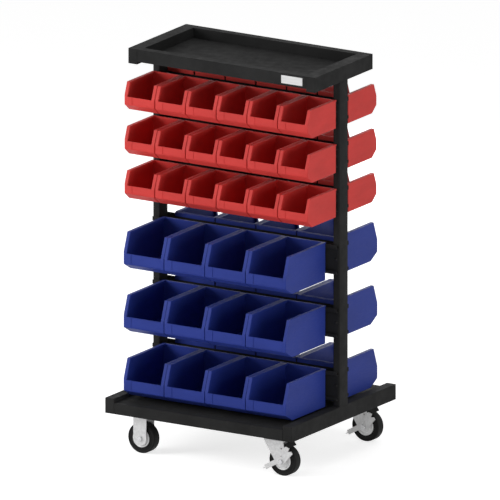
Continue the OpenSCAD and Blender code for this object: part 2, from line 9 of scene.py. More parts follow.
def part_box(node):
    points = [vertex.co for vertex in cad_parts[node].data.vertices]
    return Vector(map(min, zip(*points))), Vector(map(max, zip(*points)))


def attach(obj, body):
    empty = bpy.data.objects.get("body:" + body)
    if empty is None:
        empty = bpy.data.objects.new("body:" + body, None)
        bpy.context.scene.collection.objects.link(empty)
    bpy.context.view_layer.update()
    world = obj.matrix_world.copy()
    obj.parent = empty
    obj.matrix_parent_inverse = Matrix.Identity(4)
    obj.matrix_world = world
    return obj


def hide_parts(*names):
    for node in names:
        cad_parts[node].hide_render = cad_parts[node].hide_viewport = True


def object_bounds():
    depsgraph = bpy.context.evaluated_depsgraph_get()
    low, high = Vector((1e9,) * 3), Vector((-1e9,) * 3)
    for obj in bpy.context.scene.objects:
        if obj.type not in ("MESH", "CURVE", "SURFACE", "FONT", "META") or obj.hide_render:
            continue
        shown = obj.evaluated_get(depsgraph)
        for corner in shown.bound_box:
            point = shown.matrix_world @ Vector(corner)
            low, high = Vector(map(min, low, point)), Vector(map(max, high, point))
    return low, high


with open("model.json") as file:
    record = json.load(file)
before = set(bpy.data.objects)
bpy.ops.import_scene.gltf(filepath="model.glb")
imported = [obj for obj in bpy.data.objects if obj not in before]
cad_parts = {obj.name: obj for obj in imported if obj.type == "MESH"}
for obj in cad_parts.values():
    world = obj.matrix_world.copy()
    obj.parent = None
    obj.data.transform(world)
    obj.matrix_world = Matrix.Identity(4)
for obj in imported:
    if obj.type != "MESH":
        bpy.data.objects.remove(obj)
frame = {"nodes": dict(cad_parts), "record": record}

bl_info = {
    "name": "Double-sided bin rack",
    "version": (1, 0, 0),
    "blender": (4, 5, 0),
    "location": "View3D > Sidebar > Bin rack",
    "description": "Builds the surfaces and finishes of a mobile rack with hang-on storage bins",
    "category": "Add Mesh",
}

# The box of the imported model, before anything is added
CAD_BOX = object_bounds()

X_AXIS = Vector((1.0, 0.0, 0.0))
Y_AXIS = Vector((0.0, 1.0, 0.0))
Z_AXIS = Vector((0.0, 0.0, 1.0))
# Signs of the two halves of a symmetric piece, and names of the rack's two ends
SIDES = (-1, 1)
ENDS = ("left", "right")
# Rows of bins of one kind, from the top down
ROWS = (1, 2, 3)
# Places of a copy: as its model, or turned from the front of the rack to its rear
AS_MADE = Matrix.Identity(4)
TURNED = Matrix.Rotation(math.pi, 4, "Z")
# Turn that stands a new sheet up and lays the axis of a new cylinder along Y
QUARTER_TURN = (math.pi / 2, 0.0, 0.0)

# How far a cutter runs past the face that it opens, in metres, as all lengths here
OVER = 0.002
# Distance within which a point counts as lying on a face
NEAR = 0.0004
# Distance within which two points are one
SAME = 0.00001
# Gap between a bin's hook and the top of the lip that it hangs over
HOOK_GAP = 0.0004
# Least part of a face's normal along an axis for a face that looks that way
FACING = 0.9
# Degrees within which two faces are one flat face
FLAT = 1.0
# Degrees from which an edge is rounded, on all pieces and on the rails
SHARP = 32.0
SHARP_ON_RAIL = 60.0
# Degrees up to which faces that meet are shaded as one surface
SMOOTH = 40.0
SMOOTH_ON_PRESSING = 20.0
SMOOTH_ON_POST = 30.0
SMOOTH_ON_TYRE = 50.0
# Steps of a rounded upright corner and of a tyre's shoulder
CORNER_STEPS = 4
SHOULDER_STEPS = 5
# Edge radius of folded sheet and of a rail, as shares of the sheet's thickness
FOLDED_EDGE = 0.3
RAIL_EDGE = 0.25

WHEEL_SIDES = 72
# Rings of a tyre's side from the shoulder in: share of the side's width, push outwards
TYRE_RINGS = ((0.22, 0.0), (0.04, -0.0006), (0.08, 0.0), (0.04, 0.0006), (0.50, -0.0010),
              (0.12, -0.0004))
# Rings of a hub inside its rim, as inset and push outwards. The inset of the dish's floor is a
# share of the hub's radius, and the boss goes on from its last ring to its full height.
DISH_WALL = ((0.0012, -0.0010), (0.0008, -0.0014))
DISH_FLOOR = (0.28, 0.0004)
BOSS_FOOT = (0.0022, 0.0008)
BOSS_SIDE = (0.0012, 0.0012)
HUB_EDGE = 0.0004

# Castor pieces and fasteners whose outline the frame already gives: slot, edge radius, nodes
ROUNDED_NODES = (
    ("castor_zinc", 0.0007, ("fixed_front_fork", "fixed_rear_fork",
                             "swivel_front_fork", "swivel_rear_fork")),
    ("castor_zinc", 0.0006, ("swivel_front_plate", "swivel_rear_plate",
                             "brake_lever_front", "brake_lever_rear")),
    ("frame_black", 0.0004, ("brake_shoe_front", "brake_shoe_rear")),
    ("bright_steel", 0.0004, ("fixed_front_axle", "fixed_rear_axle",
                              "swivel_front_axle", "swivel_rear_axle")),
    ("bright_steel", 0.0005, ("swivel_front_kingpin", "swivel_rear_kingpin")),
    ("bright_steel", 0.0004, ("castor_bolts", "frame_bolts")),
    ("frame_black", 0.0003, ("rail_screws",)),
    ("label_white", 0.0003, ("label_plate",)),
)

# Values of a noise that give the first and the last of a range of colours or roughness
NOISE_START = 0.35
NOISE_END = 0.65

# Width of the floor, its tint, and the glow that lifts it to white for the camera
FLOOR_SIZE = 16.0
FLOOR_TINT = 0.80
FLOOR_GLOW = 0.72
# Strength of the sky on the object
SKY = 0.29
# Name, place, size in metres and power in watts of each soft lamp
LAMPS = (
    ("key", (-2.9, -2.6, 1.8), 2.0, 92.0),
    ("fill", (3.6, -1.2, 0.9), 2.0, 36.0),
    ("top", (0.3, 0.2, 4.2), 2.6, 18.0),
    ("back", (-0.7, 3.6, 1.1), 2.4, 36.0),
)
# The photograph's view: angles in degrees, distances and width of the picture in metres
AZIMUTH = 31.8
ELEVATION = 15.0
DISTANCE = 20.0
CLIP_END = 2.5 * DISTANCE
PICTURE_WIDTH = 1.592
TARGET = Vector((-0.0014, -0.0008, 0.6438))


def length(name, default, note):
    """A length in metres, shown in the scene's own unit."""
    return FloatProperty(name=name, description=note, default=default, min=0.0, unit="LENGTH",
                         precision=4)


def colour(name, default, note):
    """A colour that the user can pick."""
    return FloatVectorProperty(name=name, description=note, default=default, size=3, min=0.0,
                               max=1.0, subtype="COLOR")


class RackFrameSizes(bpy.types.PropertyGroup):
    """Sizes of the folded sheet metal."""
    sheet: length("Sheet", 0.002, "Thickness of the folded sheet")
    end_w: length("End channel width", 0.034, "Width of an end channel")
    end_round: length("Corner radius", 0.002, "Radius of the vertical corners of the channels")
    fold: length("Fold radius", 0.0016, "Radius of the folds of the sheet")
    channel_w: length("Castor channel width", 0.100, "Width of a channel that carries castors")
    top_flange: length("Top flange", 0.010, "Width of the flange beside the top tray's well")
    top_rim: length("Top rim", 0.028, "Width of the rim in front of the top tray's well")
    top_recess: length("Top recess", 0.034, "Depth of the top tray's well")
    post_round: length("Post radius", 0.003, "Radius of the long edges of a post")
    rail_lip_h: length("Rail lip", 0.014, "Height of the lip that the bins hang on")
    rail_foot_h: length("Rail foot", 0.010, "Height of the lip along a rail's foot")


class RackSmallBin(bpy.types.PropertyGroup):
    """Sizes and colour of the small bins."""
    count: IntProperty(name="Bins in a row", description="Small bins in a row", default=6, min=3)
    depth: length("Depth", 0.171, "Depth from the back to the front lip")
    foot_d: length("Foot depth", 0.144, "Depth of the flat underside")
    brow_d: length("Brow depth", 0.154, "Depth of the top edge")
    lip_h: length("Lip height", 0.050, "Height of the front lip")
    chin_h: length("Chin height", 0.022, "Height at which the front turns in")
    paint: colour("Colour", (0.69, 0.056, 0.050), "Colour of the small bins")


class RackLargeBin(bpy.types.PropertyGroup):
    """Sizes and colour of the large bins."""
    count: IntProperty(name="Bins in a row", description="Large bins in a row", default=4, min=3)
    depth: length("Depth", 0.240, "Depth from the back to the front lip")
    foot_d: length("Foot depth", 0.200, "Depth of the flat underside")
    brow_d: length("Brow depth", 0.216, "Depth of the top edge")
    lip_h: length("Lip height", 0.060, "Height of the front lip")
    chin_h: length("Chin height", 0.023, "Height at which the front turns in")
    paint: colour("Colour", (0.024, 0.045, 0.275), "Colour of the large bins")


class RackMoulding(bpy.types.PropertyGroup):
    """Sizes that every bin shares."""
    wall: length("Wall", 0.0025, "Thickness of a bin's wall")
    draft: length("Draft", 0.0003, "How far each side leans in from rim to underside")
    rim_w: length("Rim width", 0.011, "Width of the thick rim")
    rim_h: length("Rim height", 0.007, "Height of the thick rim")
    corner: length("Corner radius", 0.002, "Radius of the outer corners")
    sill: length("Sill", 0.0015, "Step from the side rims down to the lip and in from the back")
    edge: length("Edge radius", 0.0006, "Radius of every small edge")
    label_left: length("Label offset", 0.028, "Distance from the left side to the label panel")
    label_cut: length("Label recess", 0.0012, "Depth of the label panel")
    hook_t: length("Hook thickness", 0.0032, "Thickness of the hook")
    hook_inset: length("Hook inset", 0.002, "Distance from a bin's side to its hook")
    hook_drop: length("Hook drop", 0.009, "How far the hook reaches behind the lip")
    hook_rise: length("Hook rise", 0.005, "Height of a bin's rim above the rail's lip")
    hook_back: length("Hook gap", 0.0026, "Distance from the bin's back to the hook's leg")


class RackWheels(bpy.types.PropertyGroup):
    """Sizes of the wheels that the frame's boxes don't give."""
    hub_proud: length("Hub proud", 0.002, "How far the hub stands proud of the tyre")
    hub_grip: length("Hub grip", 0.0003, "How far the hub's edge sits in the tyre")
    hub_rim: length("Hub rim", 0.0032, "Width of the rim around the hub's dish")
    shoulder: length("Tyre shoulder", 0.003, "Radius of the tyre's shoulders")


class RackFinishes(bpy.types.PropertyGroup):
    """Colours of the frame and the castors."""
    black: colour("Powder coat", (0.024, 0.024, 0.024), "Colour of the frame")
    zinc: colour("Castor finish", (0.66, 0.66, 0.66), "Colour of the castor pressings")
    steel: colour("Fasteners", (0.68, 0.68, 0.69), "Colour of bolts, screws and axles")
    hub: colour("Hub", (0.86, 0.86, 0.86), "Colour of the moulded hubs")
    rubber: colour("Tyre", (0.010, 0.010, 0.010), "Colour of the tyres")
    plate: colour("Label plate", (0.66, 0.66, 0.66), "Colour of the blank plate")


def clear_selection():
    """Leaves edit mode and deselects everything."""
    active = bpy.context.view_layer.objects.active
    if active and active.mode != "OBJECT":
        bpy.ops.object.mode_set(mode="OBJECT")
    bpy.ops.object.select_all(action="DESELECT")


def take(piece):
    """Makes a piece the only selected and active one."""
    clear_selection()
    piece.select_set(True)
    bpy.context.view_layer.objects.active = piece


def settle(name, size=(1.0, 1.0, 1.0)):
    """Names the new piece and puts its size, turn and place into its mesh."""
    piece = bpy.context.object
    piece.name = name
    piece.scale = size
    take(piece)
    bpy.ops.object.transform_apply(location=True, rotation=True, scale=True)
    return piece


def block(name, low, high):
    """A block between two corners."""
    low, high = Vector(low), Vector(high)
    clear_selection()
    bpy.ops.mesh.primitive_cube_add(size=1.0, location=(low + high) / 2)
    return settle(name, high - low)


def flat_sheet(name, centre, width, depth, rotation=(0.0, 0.0, 0.0)):
    """A flat sheet about a centre, ready to be folded."""
    clear_selection()
    bpy.ops.mesh.primitive_plane_add(size=1.0, location=centre, rotation=rotation)
    return settle(name, (width, depth, 1.0))


def wheel_cylinder(name, centre, radius, width):
    """A cylinder along Y."""
    clear_selection()
    bpy.ops.mesh.primitive_cylinder_add(vertices=WHEEL_SIDES, radius=radius, depth=width,
                                        location=centre, rotation=QUARTER_TURN)
    return settle(name)


def edit(piece, kind="FACE"):
    """Deselects all of a piece's mesh, and sets whether points, edges or faces are picked."""
    take(piece)
    bpy.ops.object.mode_set(mode="EDIT")
    bpy.ops.mesh.select_mode(type=kind)
    bpy.ops.mesh.select_all(action="DESELECT")
    bpy.ops.object.mode_set(mode="OBJECT")


def pick_all(piece):
    """Opens a piece in edit mode with everything selected."""
    edit(piece)
    bpy.ops.object.mode_set(mode="EDIT")
    bpy.ops.mesh.select_all(action="SELECT")


def pick_faces(piece, test):
    """Opens a piece in edit mode with the faces for which test(centre, normal) holds."""
    edit(piece)
    for face in piece.data.polygons:
        face.select = test(face.center, face.normal)
    bpy.ops.object.mode_set(mode="EDIT")


def pick_edges(piece, test):
    """Opens a piece in edit mode with the edges for which test(end, other end) holds."""
    edit(piece, "EDGE")
    points = piece.data.vertices
    for line in piece.data.edges:
        a, b = (points[i].co for i in line.vertices)
        line.select = test(a, b)
    bpy.ops.object.mode_set(mode="EDIT")


def pick_points(piece, test):
    """Opens a piece in edit mode with the points for which test(place) holds."""
    edit(piece, "VERT")
    for point in piece.data.vertices:
        point.select = test(point.co)
    bpy.ops.object.mode_set(mode="EDIT")


def done():
    """Back to object mode."""
    bpy.ops.object.mode_set(mode="OBJECT")


def slice_off(piece, point, normal):
    """Cuts off what lies on the normal's side of a plane and closes the cut."""
    pick_all(piece)
    bpy.ops.mesh.bisect(plane_co=point, plane_no=normal, use_fill=True, clear_outer=True)
    done()


def divide(piece, point, normal):
    """Cuts new edges into a piece along a plane, and keeps both sides."""
    pick_all(piece)
    bpy.ops.mesh.bisect(plane_co=point, plane_no=normal)
    done()


def extrude(x=0.0, y=0.0, z=0.0):
    """Extrudes what is selected and moves it."""
    bpy.ops.mesh.extrude_region_move(TRANSFORM_OT_translate={"value": (x, y, z)})


def open_up(piece, test):
    """Takes away the faces for which test(centre, normal) holds."""
    pick_faces(piece, test)
    bpy.ops.mesh.delete(type="FACE")
    done()


def round_edges(piece, test, radius, segments=3):
    """Rounds the edges for which test(end, other end) holds."""
    pick_edges(piece, test)
    bpy.ops.mesh.bevel(offset=radius, segments=segments, affect="EDGES", clamp_overlap=True)
    done()


def outward(piece):
    """Merges doubles and turns the faces outwards."""
    pick_all(piece)
    bpy.ops.mesh.remove_doubles(threshold=SAME)
    bpy.ops.mesh.normals_make_consistent(inside=False)
    done()


def apply_modifier(piece, kind, **settings):
    """Adds a modifier, sets it and applies it."""
    take(piece)
    modifier = piece.modifiers.new(kind.title(), kind)
    for key, value in settings.items():
        setattr(modifier, key, value)
    bpy.ops.object.modifier_apply(modifier=modifier.name)


def combine(piece, tool, operation):
    """Joins a tool to a piece or cuts it out, and removes the tool."""
    apply_modifier(piece, "BOOLEAN", object=tool, operation=operation, solver="EXACT")
    bpy.data.objects.remove(tool, do_unlink=True)


def shade(piece, degrees):
    """Shades a piece smooth where its faces meet at no more than an angle."""
    take(piece)
    bpy.ops.object.shade_smooth_by_angle(angle=math.radians(degrees))


def soften(piece, radius, angle=SHARP, smooth=SMOOTH):
    """Rounds every sharp edge and shades the piece smooth, with its flat faces kept flat."""
    apply_modifier(piece, "BEVEL", width=radius, segments=2, limit_method="ANGLE",
                   angle_limit=math.radians(angle), use_clamp_overlap=True)
    shade(piece, smooth)
    apply_modifier(piece, "WEIGHTED_NORMAL", mode="FACE_AREA", weight=100, keep_sharp=True)


def thicken(piece, sheet, edge_share, offset=-1.0, angle=SHARP):
    """Gives a folded sheet its thickness and rounds its edges."""
    apply_modifier(piece, "SOLIDIFY", thickness=sheet, offset=offset, use_even_offset=True)
    soften(piece, sheet * edge_share, angle=angle)


def duplicate(piece, name, place):
    """A copy with its own mesh, moved by a matrix."""
    twin = bpy.data.objects.new(name, piece.data.copy())
    bpy.context.collection.objects.link(twin)
    twin.data.transform(place)
    return twin


def upright_corner(a, b):
    """True for an edge that stands upright."""
    return abs(a.x - b.x) < NEAR and abs(a.y - b.y) < NEAR


def along_x(a, b):
    """True for an edge that runs along the width of the rack."""
    return abs(a.y - b.y) < NEAR and abs(a.z - b.z) < NEAR


class Shader:
    """A material under construction: a surface shader and the nodes that feed it."""

    def __init__(self, name, metallic=0.0, specular=0.5):
        self.material = bpy.data.materials.new(name)
        self.material.use_nodes = True
        self.tree = self.material.node_tree
        self.surface = self.tree.nodes["Principled BSDF"]
        self.surface.inputs["Metallic"].default_value = metallic
        self.surface.inputs["Specular IOR Level"].default_value = specular
        self.place = self.tree.nodes.new("ShaderNodeTexCoord").outputs["Object"]

    def add(self, kind, source, socket, **values):
        """Adds a node, links a source to one of its sockets and sets the values of others."""
        made = self.tree.nodes.new(kind)
        self.tree.links.new(source, made.inputs[socket])
        for key, value in values.items():
            made.inputs[key.replace("_", " ")].default_value = value
        return made

    def noise(self, scale, detail, roughness=0.55, stretch=(1.0, 1.0, 1.0)):
        """Noise in object space, which may be drawn out along an axis."""
        mapping = self.add("ShaderNodeMapping", self.place, "Vector", Scale=stretch)
        return self.add("ShaderNodeTexNoise", mapping.outputs["Vector"], "Vector", Scale=scale,
                        Detail=detail, Roughness=roughness).outputs["Fac"]

    def between(self, factor, low, high, start=NOISE_START, end=NOISE_END):
        """Maps a factor onto the range from low to high."""
        return self.add("ShaderNodeMapRange", factor, "Value", From_Min=start, From_Max=end,
                        To_Min=low, To_Max=high).outputs["Result"]

    def bump(self, height, strength, distance, under=None):
        """A bump, which may lie on another one."""
        bump = self.add("ShaderNodeBump", height, "Height", Strength=strength, Distance=distance)
        if under is not None:
            self.tree.links.new(under, bump.inputs["Normal"])
        return bump.outputs["Normal"]

    def feed(self, socket, source):
        """Links a source to a socket of the surface."""
        self.tree.links.new(source, self.surface.inputs[socket])

    def mottle(self, factor, tint, dark, light, start=NOISE_START, end=NOISE_END):
        """Colours the surface between two shares of a tint, as a factor says."""
        mix = self.tree.nodes.new("ShaderNodeMix")
        mix.data_type = "RGBA"
        for socket, share in (("A", dark), ("B", light)):
            shaded = [min(1.0, part * share) for part in tint]
            mix.inputs[socket].default_value = (*shaded, 1.0)
        self.tree.links.new(self.between(factor, 0.0, 1.0, start, end), mix.inputs["Factor"])
        self.feed("Base Color", mix.outputs["Result"])

    def roughen(self, factor, low, high):
        """Sets the surface's roughness between two values, as a factor says."""
        self.feed("Roughness", self.between(factor, low, high))


def powder_coat(name, tint):
    """Satin powder coat: a fine orange peel, faint clouding and rubbed patches."""
    made = Shader(name, specular=0.06)
    made.mottle(made.noise(scale=9.0, detail=4.0), tint, dark=0.88, light=1.22)
    made.roughen(made.noise(scale=38.0, detail=5.0), low=0.62, high=0.78)
    peel = made.bump(made.noise(scale=320.0, detail=1.0), strength=0.10, distance=0.0006)
    grain = made.noise(scale=1400.0, detail=2.0)
    made.feed("Normal", made.bump(grain, strength=0.16, distance=0.00025, under=peel))
    return made.material


def moulded_plastic(name, tint):
    """Moulded polypropylene: satin grain, faint flow marks and light scuffs."""
    made = Shader(name, specular=0.16)
    flow = made.noise(scale=6.0, detail=3.0, stretch=(1.0, 1.0, 2.4))
    scuff = made.noise(scale=55.0, detail=7.0, roughness=0.7, stretch=(1.0, 1.0, 6.0))
    made.mottle(flow, tint, dark=0.93, light=1.07)
    made.roughen(scuff, low=0.44, high=0.60)
    fine = made.bump(made.noise(scale=900.0, detail=2.0), strength=0.12, distance=0.00022)
    wave = made.noise(scale=14.0, detail=2.0)
    made.feed("Normal", made.bump(wave, strength=0.06, distance=0.0016, under=fine))
    return made.material


def zinc_plate(name, tint):
    """Bright zinc on pressed steel: drawn grain, soft spangle and dull handling marks."""
    made = Shader(name, metallic=0.35)
    spangle = made.noise(scale=120.0, detail=5.0, roughness=0.6)
    drawn = made.noise(scale=420.0, detail=2.0, stretch=(1.0, 1.0, 0.12))
    made.mottle(spangle, tint, dark=0.90, light=1.10)
    made.roughen(made.noise(scale=60.0, detail=5.0), low=0.30, high=0.48)
    made.feed("Normal", made.bump(drawn, strength=0.10, distance=0.0002))
    return made.material


def bright_steel(name, tint):
    """Plated fasteners: fine turning marks."""
    made = Shader(name, metallic=0.45)
    made.mottle(made.noise(scale=260.0, detail=4.0), tint, dark=0.85, light=1.12)
    made.roughen(made.noise(scale=150.0, detail=4.0), low=0.24, high=0.40)
    turned = made.noise(scale=1800.0, detail=1.0)
    made.feed("Normal", made.bump(turned, strength=0.08, distance=0.0001))
    return made.material


def moulded_hub(name, tint):
    """Silver-grey moulded hub with a faint mould grain."""
    made = Shader(name, metallic=0.35)
    made.mottle(made.noise(scale=40.0, detail=4.0), tint, dark=0.94, light=1.05)
    made.roughen(made.noise(scale=90.0, detail=4.0), low=0.45, high=0.60)
    grain = made.noise(scale=1100.0, detail=2.0)
    made.feed("Normal", made.bump(grain, strength=0.12, distance=0.0002))
    return made.material


def tyre_rubber(name, tint):
    """Black rubber: fine mould grain and a little floor dust."""
    made = Shader(name, specular=0.12)
    dust = made.noise(scale=70.0, detail=6.0, roughness=0.65)
    made.mottle(dust, tint, dark=1.0, light=1.9, start=0.45, end=0.75)
    made.roughen(dust, low=0.55, high=0.78)
    grain = made.noise(scale=1300.0, detail=3.0)
    made.feed("Normal", made.bump(grain, strength=0.22, distance=0.0003))
    return made.material


def blank_plate(name, tint):
    """Brushed blank plate."""
    made = Shader(name, metallic=0.35)
    brushed = made.noise(scale=700.0, detail=2.0, stretch=(0.04, 1.0, 1.0))
    made.mottle(brushed, tint, dark=0.93, light=1.06)
    made.roughen(brushed, low=0.34, high=0.46)
    made.feed("Normal", made.bump(brushed, strength=0.08, distance=0.0001))
    return made.material


# For each slot: the material's name, its maker, and the group and name of its colour
FINISHES = {
    "frame_black": ("black_powder_coat", powder_coat, "rack_finishes", "black"),
    "castor_zinc": ("castor_zinc_plate", zinc_plate, "rack_finishes", "zinc"),
    "bright_steel": ("plated_fasteners", bright_steel, "rack_finishes", "steel"),
    "hub_grey": ("grey_hub_moulding", moulded_hub, "rack_finishes", "hub"),
    "tyre_black": ("black_tyre_rubber", tyre_rubber, "rack_finishes", "rubber"),
    "label_white": ("blank_label_plate", blank_plate, "rack_finishes", "plate"),
    "bin_red": ("red_bin_plastic", moulded_plastic, "rack_small_bin", "paint"),
    "bin_blue": ("blue_bin_plastic", moulded_plastic, "rack_large_bin", "paint"),
}


def finish(slot):
    """The material of a slot, made the first time that it is asked for."""
    name, maker, group, key = FINISHES[slot]
    tint = getattr(getattr(bpy.context.scene, group), key)
    return bpy.data.materials.get(name) or maker(name, tint)


def finish_piece(piece, body, slot, node):
    """Gives a piece its material and its body, and hides the CAD node that it stands for."""
    piece.data.materials.clear()
    piece.data.materials.append(finish(slot))
    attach(piece, body)
    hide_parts(node)


def coat(piece, node):
    """Finishes a piece of the frame in powder coat."""
    finish_piece(piece, "frame", "frame_black", node)


def body_of(node):
    """The body that carries a node."""
    for body, nodes in frame["record"]["behaviour"]["bodies"].items():
        if node in nodes:
            return body
    raise ValueError(f"no body carries {node}")


def slope_normal(near, far, away):
    """Normal of the plane through two points and along X, turned to the side of away."""
    normal = X_AXIS.cross(Vector(far) - Vector(near)).normalized()
    return normal if normal.dot(away) > 0 else -normal


class BinPlan:
    """The outline of a bin about x = 0, with its rim at z = 0 and its front towards -Y."""

    def __init__(self, shape, width, height, back):
        self.half = width / 2
        self.back, self.front = back, back - shape.depth
        self.floor = -height
        self.chin_z, self.lip_z = self.floor + shape.chin_h, self.floor + shape.lip_h
        self.foot = (0.0, back - shape.foot_d, self.floor)
        chin = (0.0, self.front, self.chin_z)
        self.lip = (0.0, self.front, self.lip_z)
        self.brow = (0.0, back - shape.brow_d, 0.0)
        self.under = slope_normal(self.foot, chin, -Y_AXIS - Z_AXIS)
        self.over = slope_normal(self.lip, self.brow, Z_AXIS - Y_AXIS)


def lean_sides(piece, half, floor, draft):
    """Leans both sides of a block in, from z = 0 down to its floor."""
    for side in SIDES:
        slope = Vector((side * -floor, 0.0, -draft)).normalized()
        slice_off(piece, (side * half, 0.0, 0.0), slope)


def mould_shell(name, plan, plastic):
    """The outside of a bin as a full block."""
    half, front = plan.half, plan.front
    shell = block(name, (-half, front, plan.floor), (half, plan.back, 0.0))
    slice_off(shell, plan.foot, plan.under)
    slice_off(shell, plan.brow, plan.over)
    lean_sides(shell, half, plan.floor, plastic.draft)

    def side_edge(a, b):
        """True for the outer edges of both sides, below the rim and the slanted front."""
        outer = abs(a.x) > half - 2 * plastic.draft and a.x * b.x > 0
        top = a.z > -NEAR and b.z > -NEAR
        sloped = max(a.z, b.z) > -NEAR and min(a.y, b.y) < front + NEAR
        return outer and not top and not sloped

    def cross_edge(a, b):
        """True for the edges across the underside and the chin."""
        return along_x(a, b) and a.z < plan.chin_z + NEAR

    round_edges(shell, lambda a, b: side_edge(a, b) or cross_edge(a, b), plastic.corner)
    return shell


def mould_room(plan, plastic):
    """The room inside a bin as a full block, up to the underside of the rim."""
    wall, half, rim_h = plastic.wall, plan.half, plastic.rim_h
    inner_front, inner_back = plan.front + wall + NEAR, plan.back - wall - NEAR
    room = block("room", (-half + wall, plan.front + wall, plan.floor + wall),
                 (half - wall, plan.back - wall, -rim_h))
    slice_off(room, Vector(plan.foot) - plan.under * wall, plan.under)
    slice_off(room, Vector(plan.brow) - plan.over * rim_h, plan.over)
    divide(room, plan.lip, Z_AXIS)
    sill_z = max(point.co.z for point in room.data.vertices if point.co.y < inner_front)
    pick_edges(room, lambda a, b: max(a.y, b.y) < inner_front and min(a.z, b.z) > sill_z - NEAR)
    bpy.ops.transform.translate(value=(0.0, 0.0, plan.lip_z - sill_z))
    done()
    lean_sides(room, half - wall, plan.floor, plastic.draft)

    def inner_edge(a, b):
        """True for the edges at the foot of the room and up both corners of its back."""
        back_corner = abs(a.x - b.x) < 2 * wall and min(a.y, b.y) > inner_back
        return max(a.z, b.z) < plan.chin_z or (back_corner and max(a.z, b.z) < -rim_h - NEAR)

    round_edges(room, inner_edge, plastic.corner - wall / 2, segments=2)
    return room


def mould_hook(plan, plastic):
    """The hook on a bin's back: a bridge over the rail's lip and a leg behind it."""
    leg = plan.back + plastic.hook_back
    reach = plan.half - plastic.hook_inset
    hook = block("hook", (-reach, plan.back - plastic.wall / 2, HOOK_GAP - plastic.hook_rise),
                 (reach, leg + plastic.hook_t, -plastic.wall / 2))
    divide(hook, Y_AXIS * leg, Y_AXIS)
    pick_faces(hook, lambda centre, normal: normal.z < -FACING and centre.y > leg)
    extrude(z=-HOOK_GAP - plastic.hook_drop)
    done()
    return hook


def mould_bin(name, shape, width, height, back):
    """One bin about x = 0 with its rim at z = 0 and its back on the plane y = back."""
    plastic = bpy.context.scene.rack_moulding
    plan = BinPlan(shape, width, height, back)
    left, right = -plan.half + plastic.rim_w, plan.half - plastic.rim_w
    shell = mould_shell(name, plan, plastic)
    combine(shell, mould_room(plan, plastic), "DIFFERENCE")
    mouth = block("mouth", (left, plan.front - OVER, plan.lip_z - plastic.sill),
                  (right, back - plastic.wall - plastic.sill, OVER))
    combine(shell, mouth, "DIFFERENCE")
    combine(shell, mould_hook(plan, plastic), "UNION")
    soften(shell, plastic.edge)
    panel = block("panel", (-plan.half + plastic.label_left, plan.front - OVER,
                            plan.chin_z + plastic.wall),
                  (right, plan.front + plastic.label_cut, plan.lip_z - plastic.wall))
    combine(shell, panel, "DIFFERENCE")
    return shell


def hang_bins(kind, shape):
    """Moulds one bin of a kind and hangs copies of it on every rail for that kind."""
    low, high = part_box(f"front_{kind}_bin_1")
    width, height = high[0] - low[0], high[2] - low[2]
    model = mould_bin(f"{kind}_bin", shape, width, height, low[1] + shape.depth)

    def hang(name, node, x, z, turn):
        """Hangs a copy with its rim's middle at x and z."""
        twin = duplicate(model, name, Matrix.Translation((x, 0.0, z)) @ turn)
        finish_piece(twin, node, f"bin_{kind}", node)

    shared = (("front", shape.count - 1, AS_MADE), ("rear", shape.count, TURNED))
    for row in ROWS:
        for side, held, turn in shared:
            node = f"{side}_{kind}_row_{row}"
            start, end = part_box(node)
            step = (end[0] - start[0] - width) / (held - 1)
            for i in range(held):
                x = start[0] + width / 2 + i * step
                hang(f"{side}_{kind}_{row}_bin_{i + 1}", node, x, end[2], turn)
        node = f"front_{kind}_bin_{row}"
        start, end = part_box(node)
        hang(f"front_{kind}_{row}_end_bin", node, (start[0] + end[0]) / 2, end[2], AS_MADE)
    bpy.data.objects.remove(model, do_unlink=True)


def fold_end_channels(place, opening, sizes):
    """Folds both end channels of the base or the top, open above (opening 1) or below (-1)."""
    for word in ENDS:
        node = f"{place}_end_{word}"
        low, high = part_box(node)
        web_z = low[2] if opening > 0 else high[2]
        channel = block(f"{node}_channel", low, high)
        round_edges(channel, upright_corner, sizes.end_round, CORNER_STEPS)
        round_edges(channel, lambda a, b: abs(a.z - web_z) < NEAR and abs(b.z - web_z) < NEAR,
                    sizes.fold)
        open_up(channel, lambda centre, normal: normal.z * opening > FACING)
        thicken(channel, sizes.sheet, FOLDED_EDGE)
        coat(channel, node)


class RACK_OT_base(bpy.types.Operator):
    """Folds the base deck, its two end channels and the channels that carry the castors"""
    bl_idname = "rack.base"
    bl_label = "Base"

    def execute(self, context):
        sizes = context.scene.rack_frame
        deck = block("base_deck_sheet", *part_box("base_deck"))
        round_edges(deck, upright_corner, sizes.end_round, CORNER_STEPS)
        open_up(deck, lambda centre, normal: normal.z < -FACING)
        thicken(deck, sizes.sheet, FOLDED_EDGE)
        coat(deck, "base_deck")
        low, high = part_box("castor_channels")
        right_low = (high[0] - sizes.channel_w, low[1], low[2])
        channel = block("castor_channel_right", right_low, high)
        open_up(channel, lambda centre, normal: normal.z > FACING or abs(normal.y) > FACING)
        thicken(channel, sizes.sheet, FOLDED_EDGE)
        twin = duplicate(channel, "castor_channel_left",
                         Matrix.Translation((low[0] - right_low[0], 0.0, 0.0)))
        for piece in (channel, twin):
            coat(piece, "castor_channels")
        fold_end_channels("base", -1, sizes)
        return {"FINISHED"}


